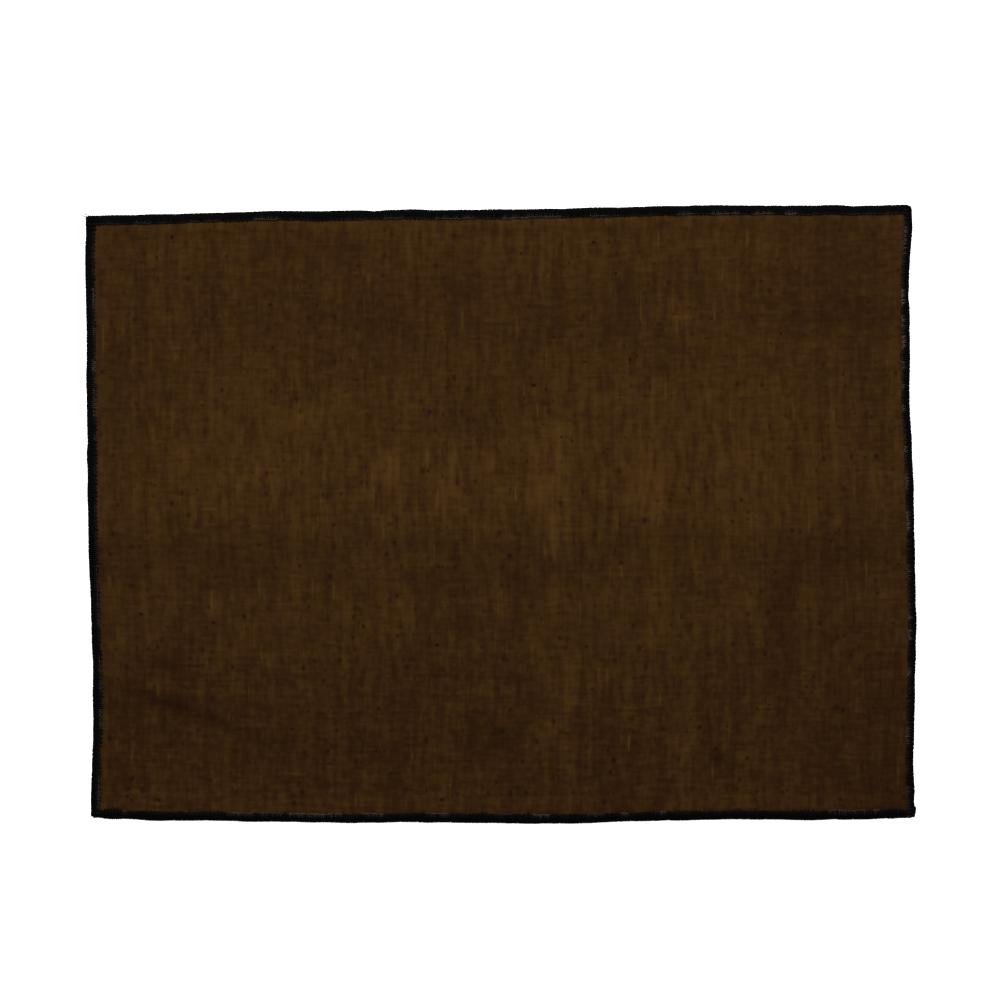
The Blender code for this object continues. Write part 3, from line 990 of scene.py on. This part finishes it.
def make_corner_threads(material):
    """What is sewn over each corner: the last stitches of the side seams, a knob of spare thread at the
    front right corner and the seam's thread tails at the back left one.
    """
    chance = random.Random("corners")
    edging = bpy.context.scene.placemat_edging
    strands = []
    for side in ("left", "right"):
        for start, end in (
            (END_ROOM, SEAMS["front"].width),
            (WIDTH - SEAMS["back"].width, WIDTH - END_ROOM),
        ):
            strands.append(looper_strand(side, start, end, True, CORNER_RAISE, chance))
            strands.append(looper_strand(side, start, end, False, 0, chance))
            strands.append(packed_threads(side, max(start, 2 * END_ROOM), min(end, WIDTH - 2 * END_ROOM)))
    knob = [edging_point("right", along, KNOB_DEPTH, EDGING_HEIGHT / 2) for along in KNOB_ALONG]
    strands.append(coiled_strand(*knob, KNOB_RADIUS, KNOB_TURNS, edging.looper_diameter))
    for tail in THREAD_TAILS:
        points = smooth_line([Vector((x * MM, y * MM, z * MM)) for x, y, z in tail], TAIL_STEPS)
        ones = [1] * len(points)
        strands.append(thread_mesh(points, ones, ones, edging.needle_diameter / 2, NEEDLE_FACETS))
    piece = add_piece("corner_threads", join_meshes("corner_threads", strands), material)


def smooth_line(points, steps):
    """More points on a smooth curve through a few."""
    line = []
    for i in range(len(points) - 1):
        before, after = points[max(i - 1, 0)], points[min(i + 2, len(points) - 1)]
        for step in range(steps):
            t = step / steps
            a = points[i] + (points[i + 1] - before) * t / 3
            b = points[i + 1] + (points[i] - after) * (1 - t) / 3
            line.append(a.lerp(b, ease(t)))
    return [*line, points[-1]]


# The cloth.


class ThickPlaces:
    """Places where the yarn is thicker or holds a bit of plant: soft low swellings that lie on the cloth,
    gathered into one mesh. Their rims are sunk into it.
    """

    def __init__(self):
        grid = bmesh.new()
        bmesh.ops.create_grid(grid, x_segments=4, y_segments=6, size=1)
        self.grid = finish_mesh(grid, "swelling")
        self.bm = bmesh.new()
        self.shade = self.bm.verts.layers.float.new("tone")
        self.places = []

    def add(self, u, v, half_size, along_warp, shade):
        """One swelling at a place: half its width and length and its rise, and its middle's tone."""
        half_width, half_length, rise = half_size
        thickness = bpy.context.scene.placemat_cloth.cloth_thickness
        self.bm.from_mesh(self.grid)
        self.bm.verts.ensure_lookup_table()
        for vert in self.bm.verts[-len(self.grid.vertices) :]:
            across, along = vert.co.x * half_width, vert.co.y * half_length
            crown = (1 - vert.co.x**2) * (1 - vert.co.y**2)
            place = (u + across, v + along) if along_warp else (u - along, v + across)
            self.places.append(place)
            vert.co = cloth_underside(*place) + Vector((0, 0, thickness + crown * rise - RIM_SUNK))
            vert[self.shade] = shade * crown

    def finish(self, name):
        """The mesh of all of them, on the weave's map."""
        self.bm.verts.index_update()
        weave = self.bm.loops.layers.uv.new("Weave")
        for face in self.bm.faces:
            for loop in face.loops:
                loop[weave].uv = self.places[loop.vert.index]
        bpy.data.meshes.remove(self.grid)
        mesh = finish_mesh(self.bm, name)
        shade_cloth(mesh)
        return mesh


def make_slubs(material):
    """The thick lengths of the yarn that stand out of the weave, most of them in the warp."""
    settings = bpy.context.scene.placemat_cloth
    chance = random.Random("slubs")
    slubs = ThickPlaces()
    for i in range(settings.slub_count):
        along_warp = i % WEFT_SLUB_EVERY > 0
        half_length = chance.triangular(*SLUB_HALF_LENGTHS) * MM
        half_width = chance.triangular(*SLUB_HALF_WIDTHS) * MM
        margin_u = RISE_TOP + (half_width if along_warp else half_length)
        margin_v = RISE_TOP + (half_length if along_warp else half_width)
        u = chance.uniform(margin_u, LENGTH - margin_u)
        v = chance.uniform(margin_v, WIDTH - margin_v)
        shade = chance.uniform(*SLUB_SHADES["warp" if along_warp else "weft"])
        slubs.add(u, v, (half_width, half_length, SLUB_RISE), along_warp, shade)
    piece = add_piece("slub_yarns", slubs.finish("slub_yarns"), material)


def make_specks(material):
    """Shive, the bits of the plant's woody core that are spun into the yarn and take the dye nearly black:
    the ones that stand out in their places, and fainter ones anywhere.
    """
    settings = bpy.context.scene.placemat_cloth
    chance = random.Random("specks")
    specks = ThickPlaces()
    for x, y, across in SPECKS:
        u, v = place_on_mat(x * MM, y * MM)
        size = (across * SPECK_NARROWNESS * MM, across * MM, SPECK_RISE)
        specks.add(u, v, size, chance.random() < SPECKS_ALONG_WARP, SPECK_SHADE)
    for i in range(settings.speck_count):
        u = chance.uniform(RISE_TOP, LENGTH - RISE_TOP)
        v = chance.uniform(RISE_TOP, WIDTH - RISE_TOP)
        half_width = chance.uniform(*FAINT_SPECK_HALF_WIDTHS) * MM
        size = (half_width, half_width * chance.uniform(*FAINT_SPECK_STRETCH), SPECK_RISE)
        along_warp = chance.random() < FAINT_SPECKS_ALONG_WARP
        specks.add(u, v, size, along_warp, chance.uniform(*FAINT_SPECK_SHADES))
    piece = add_piece("flax_specks", specks.finish("flax_specks"), material)


def steps_between(first, last, step):
    """Evenly spaced values from first to last, about a step apart."""
    count = round((last - first) / step)
    return [first + (last - first) * i / count for i in range(count + 1)]


def make_cloth(material):
    """The linen itself, one closed sheet with its folds, creases, crumples and puckers."""
    settings = bpy.context.scene.placemat_cloth
    across = steps_between(CLOTH_INSET, LENGTH - CLOTH_INSET, settings.grid_step)
    along = steps_between(CLOTH_INSET, WIDTH - CLOTH_INSET, settings.grid_step)

    def place(u, v):
        if u in (across[0], across[-1]) and v in (along[0], along[-1]):
            u += CORNER_TUCK if u < LENGTH / 2 else -CORNER_TUCK
            v += CORNER_TUCK if v < WIDTH / 2 else -CORNER_TUCK
        return cloth_underside(u, v)

    bm = placed_grid(across, along, place, "Weave", lambda u, v: (u, v))
    # The sheet grows up from its underside.
    bmesh.ops.solidify(bm, geom=bm.faces[:], thickness=-settings.cloth_thickness)
    bmesh.ops.recalc_face_normals(bm, faces=bm.faces)
    mesh = finish_mesh(bm, "linen_cloth")
    shade_cloth(mesh)
    piece = add_piece("linen_cloth", mesh, material)
    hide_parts("linen_panel")
    return piece


# What a user changes.


class PlacematCloth(bpy.types.PropertyGroup):
    """The linen."""

    cloth_thickness: bpy.props.FloatProperty(
        name="Cloth thickness", description="Thickness of the linen", default=0.9 * MM, subtype="DISTANCE"
    )
    yarn_pitch: bpy.props.FloatProperty(
        name="Yarn pitch", description="Distance from yarn to yarn", default=0.72 * MM, subtype="DISTANCE"
    )
    grid_step: bpy.props.FloatProperty(
        name="Grid step", description="Size of the cloth's squares", default=2.0 * MM, subtype="DISTANCE"
    )
    slub_count: bpy.props.IntProperty(
        name="Slubs", description="How many thick lengths of yarn stand out", default=480
    )
    speck_count: bpy.props.IntProperty(
        name="Specks", description="How many fine dark bits of plant show", default=150
    )
    linen: bpy.props.FloatVectorProperty(
        name="Linen", description="The cloth's main colour", default=linear("331F0B")[:3], subtype="COLOR"
    )
    dark_yarn: bpy.props.FloatVectorProperty(
        name="Dark yarn", description="It took most dye", default=linear("1F0F06")[:3], subtype="COLOR"
    )
    pale_yarn: bpy.props.FloatVectorProperty(
        name="Pale yarn", description="It took least dye", default=linear("4B3414")[:3], subtype="COLOR"
    )


class PlacematEdging(bpy.types.PropertyGroup):
    """The overlock seam."""

    stitch_length: bpy.props.FloatProperty(
        name="Stitch length", description="Length of one stitch", default=2.45 * MM, subtype="DISTANCE"
    )
    looper_diameter: bpy.props.FloatProperty(
        name="Looper thread", description="Its thickness", default=0.85 * MM, subtype="DISTANCE"
    )
    needle_diameter: bpy.props.FloatProperty(
        name="Needle thread", description="Its thickness", default=0.5 * MM, subtype="DISTANCE"
    )
    steps_per_stitch: bpy.props.IntProperty(
        name="Steps", description="Mesh steps along the thread in one stitch", default=16
    )
    thread: bpy.props.FloatVectorProperty(
        name="Thread", description="The thread's black", default=linear("040404")[:3], subtype="COLOR"
    )
    # The grey painted on the thread, partly lint and partly painted highlight.
    lint: bpy.props.FloatVectorProperty(
        name="Lint", description="Grey of lint on the thread", default=linear("5C524C")[:3], subtype="COLOR"
    )


class PlacematStage(bpy.types.PropertyGroup):
    """Table, light and camera."""

    frame_width: bpy.props.FloatProperty(
        name="Frame width", description="Width of table in the frame", default=581 * MM, subtype="DISTANCE"
    )
    lens: bpy.props.FloatProperty(
        name="Lens", description="Focal length in millimetres", default=85, subtype="DISTANCE_CAMERA"
    )
    table_glow: bpy.props.FloatProperty(
        name="Table glow", description="Light from inside the white table", default=1.0
    )
    lamp_power: bpy.props.FloatProperty(
        name="Lamp power", description="The soft box behind the mat, in watts", default=74, subtype="POWER"
    )
    room_light: bpy.props.FloatProperty(
        name="Room light", description="Even light from all round", default=0.36
    )


class PLACEMAT_OT_stage(bpy.types.Operator):
    """Make the white table, the soft lights and the camera straight above"""

    bl_idname = "placemat.stage"
    bl_label = "Table, Light and Camera"

    def execute(self, context):
        stage = context.scene.placemat_stage
        bm = bmesh.new()
        bmesh.ops.create_grid(bm, x_segments=1, y_segments=1, size=TABLE_REACH)
        bmesh.ops.translate(bm, verts=bm.verts, vec=(0, 0, -TABLE_DROP))
        mesh = finish_mesh(bm, "light_table")
        mesh.materials.append(make_floor_material())
        table = bpy.data.objects.new("light_table", mesh)
        context.scene.collection.objects.link(table)
        table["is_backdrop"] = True

        world = bpy.data.worlds.new("white room")
        world.use_nodes = True
        world.node_tree.nodes["Background"].inputs["Color"].default_value = (1, 1, 1, 1)
        world.node_tree.nodes["Background"].inputs["Strength"].default_value = stage.room_light
        context.scene.world = world

        lamp = bpy.data.lights.new("soft box", "AREA")
        lamp.shape = "RECTANGLE"
        lamp.size, lamp.size_y = LAMP_SIZE
        lamp.energy = stage.lamp_power
        box = bpy.data.objects.new("soft box", lamp)
        box.location = LAMP_PLACE
        box.rotation_euler = (-Vector(LAMP_PLACE)).to_track_quat("-Z", "Y").to_euler()
        context.scene.collection.objects.link(box)

        lens = bpy.data.cameras.new("camera")
        lens.lens = stage.lens
        camera = bpy.data.objects.new("camera", lens)
        height = stage.frame_width * stage.lens / lens.sensor_width
        camera.location = (*FRAME_CENTRE, height + MAT_TOP)
        context.scene.collection.objects.link(camera)
        context.scene.camera = camera
        context.scene.view_settings.view_transform = "Standard"
        return {"FINISHED"}


class PLACEMAT_OT_edging(bpy.types.Operator):
    """Sew the overlock seam along the four sides and over the corners"""

    bl_idname = "placemat.edging"
    bl_label = "Overlocked Edge"

    def execute(self, context):
        material = make_thread_material()
        for side in SIDES:
            make_overlock_run(side, material)
        make_corner_threads(material)
        return {"FINISHED"}


class PLACEMAT_OT_slubs(bpy.types.Operator):
    """Lay the slubs of the yarn and the dark specks of plant into the cloth"""

    bl_idname = "placemat.slubs"
    bl_label = "Slubs and Specks"

    def execute(self, context):
        make_slubs(make_linen_material("slubs of woven linen"))
        make_specks(make_linen_material("dyed flax shive in woven linen"))
        return {"FINISHED"}


class PLACEMAT_OT_cloth(bpy.types.Operator):
    """Lay the linen"""

    bl_idname = "placemat.cloth"
    bl_label = "Linen Cloth"

    def execute(self, context):
        cloth = make_cloth(make_linen_material("plain woven linen"))
        held = [f"overlock_thread_{side}" for side in SIDES]
        held += ["corner_threads", "slub_yarns", "flax_specks"]
        return {"FINISHED"}


class PLACEMAT_PT_panel(bpy.types.Panel):
    """The placemat's pieces and settings"""

    bl_idname = "PLACEMAT_PT_panel"
    bl_label = "Fabric Placemat"
    bl_space_type = "VIEW_3D"
    bl_region_type = "UI"
    bl_category = "Placemat"

    def draw(self, context):
        for settings in ("placemat_stage", "placemat_edging", "placemat_cloth"):
            group = getattr(context.scene, settings)
            box = self.layout.box()
            for name in type(group).__annotations__:
                box.prop(group, name)
        for operator in OPERATORS:
            self.layout.operator(operator.bl_idname)


OPERATORS = (PLACEMAT_OT_stage, PLACEMAT_OT_edging, PLACEMAT_OT_slubs, PLACEMAT_OT_cloth)
GROUPS = {
    "placemat_cloth": PlacematCloth,
    "placemat_edging": PlacematEdging,
    "placemat_stage": PlacematStage,
}


def register():
    for name, group in GROUPS.items():
        bpy.utils.register_class(group)
        setattr(bpy.types.Scene, name, bpy.props.PointerProperty(type=group))
    for operator in OPERATORS:
        bpy.utils.register_class(operator)
    bpy.utils.register_class(PLACEMAT_PT_panel)


def unregister():
    bpy.utils.unregister_class(PLACEMAT_PT_panel)
    for operator in reversed(OPERATORS):
        bpy.utils.unregister_class(operator)
    for name, group in reversed(GROUPS.items()):
        delattr(bpy.types.Scene, name)
        bpy.utils.unregister_class(group)


def main():
    register()
    bpy.ops.placemat.stage()
    bpy.ops.placemat.edging()
    bpy.ops.placemat.slubs()
    bpy.ops.placemat.cloth()
    boxes = {"cad": cad_box, "visual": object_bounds()}
    {name: [list(corner) for corner in box] for name, box in boxes.items()}


if __name__ == "__main__":
    main()
